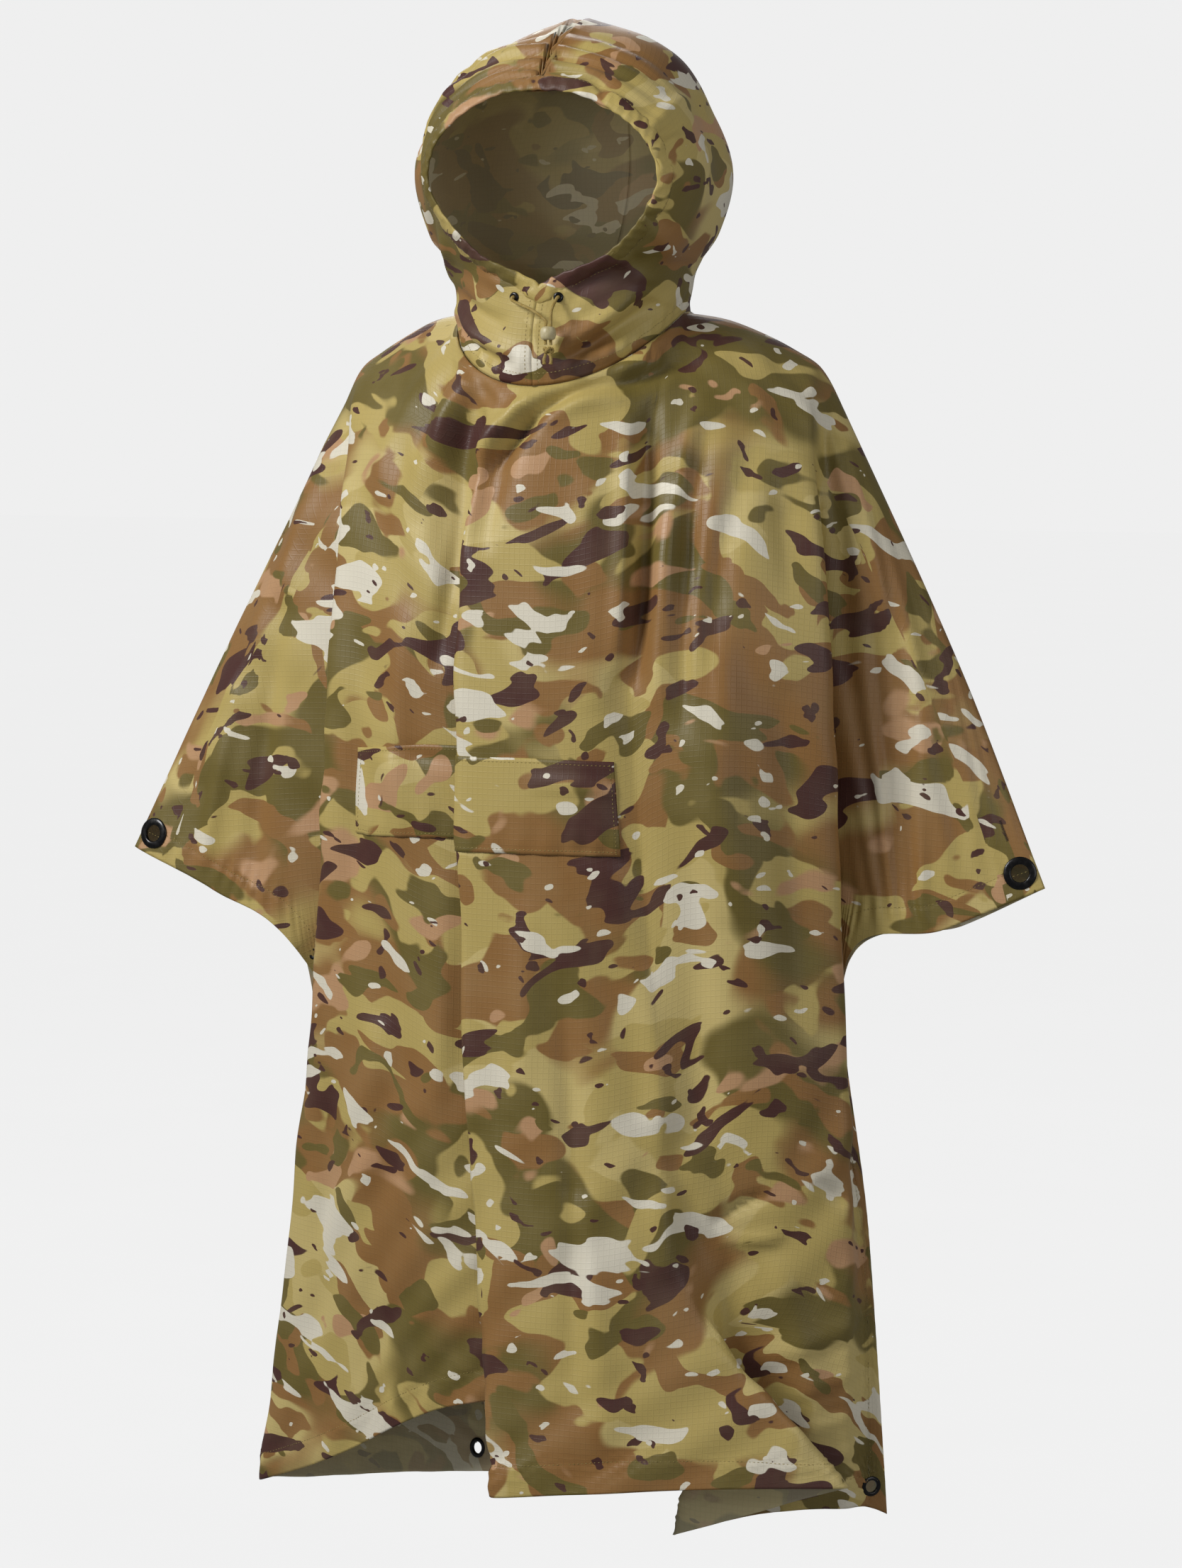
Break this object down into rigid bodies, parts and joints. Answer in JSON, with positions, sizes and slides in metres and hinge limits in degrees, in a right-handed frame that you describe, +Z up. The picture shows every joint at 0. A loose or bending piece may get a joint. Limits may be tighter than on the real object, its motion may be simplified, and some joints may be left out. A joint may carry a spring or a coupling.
{
  "type": "hooded rain poncho",
  "caption": "Hooded rain poncho with snapped sides, a front pocket flap, a hood drawcord with lock and corner eyelets, in its worn shape with no wearer.",
  "frame": {"origin": "the middle of the neck at shoulder height, where the wearer carries the garment", "axes": "+Z up, the front faces -Y, the wearer's left is +X"},
  "size_m": [0.9038, 0.4425, 1.4016],
  "materials": {
    "cloth": null,
    "black_metal": "black enamelled metal with worn edges",
    "cord": "thin braided cord",
    "lock": "moulded pale plastic"
  },
  "bodies": {
    "root": {"front_panel": "cloth", "back_panel": "cloth", "hood_left": "cloth", "hood_right": "cloth", "pocket_flap": "cloth", "eyelet_wing_left": "black_metal", "eyelet_wing_right": "black_metal", "eyelet_corner_front_left": "black_metal", "eyelet_corner_front_right": "black_metal", "eyelet_corner_back_left": "black_metal", "eyelet_corner_back_right": "black_metal", "cord_eyelet_left": "black_metal", "cord_eyelet_right": "black_metal", "snap_left": "black_metal", "snap_right": "black_metal", "drawcord_left": "cord", "drawcord_right": "cord", "cord_knot": "cord", "cord_lock": "lock"}
  },
  "joints": []
}
